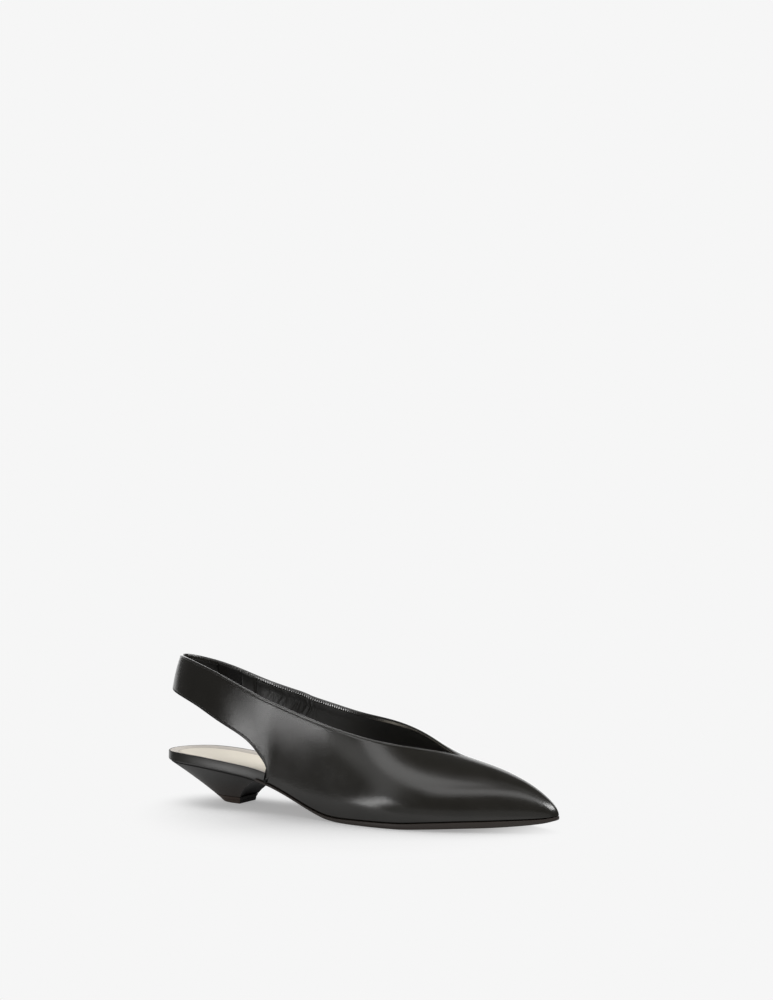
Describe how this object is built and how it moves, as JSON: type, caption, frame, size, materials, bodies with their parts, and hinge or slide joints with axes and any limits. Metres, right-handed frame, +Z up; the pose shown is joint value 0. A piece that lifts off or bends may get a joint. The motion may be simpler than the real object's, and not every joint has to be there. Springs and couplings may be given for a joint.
{
  "type": "slingback shoe",
  "caption": "Pointed slingback pump for the right foot: black leather upper with a V throat and wide sling strap, pale sock, thin leather sole and a low raked covered heel.",
  "frame": {"origin": "floor point under the middle of the shoe's bounding box", "axes": "+X towards the toe, +Y towards the inner (medial) side, +Z up from the floor"},
  "size_m": [0.265, 0.0782, 0.0915],
  "materials": {
    "upper_leather": "smooth satin black calf",
    "elastic": "black ribbed elastic",
    "sock": "pale beige smooth leather",
    "rim_leather": "black leather wrapped over board",
    "sole_leather": "dark stained sole leather",
    "heel_leather": "black leather cover",
    "tip_rubber": "brown-black wearing tip"
  },
  "bodies": {
    "root": {"upper": "upper_leather", "elastic_gore": "elastic", "sock_lining": "sock", "insole": "rim_leather", "outsole": "sole_leather", "heel": "heel_leather", "top_piece": "tip_rubber"}
  },
  "joints": []
}
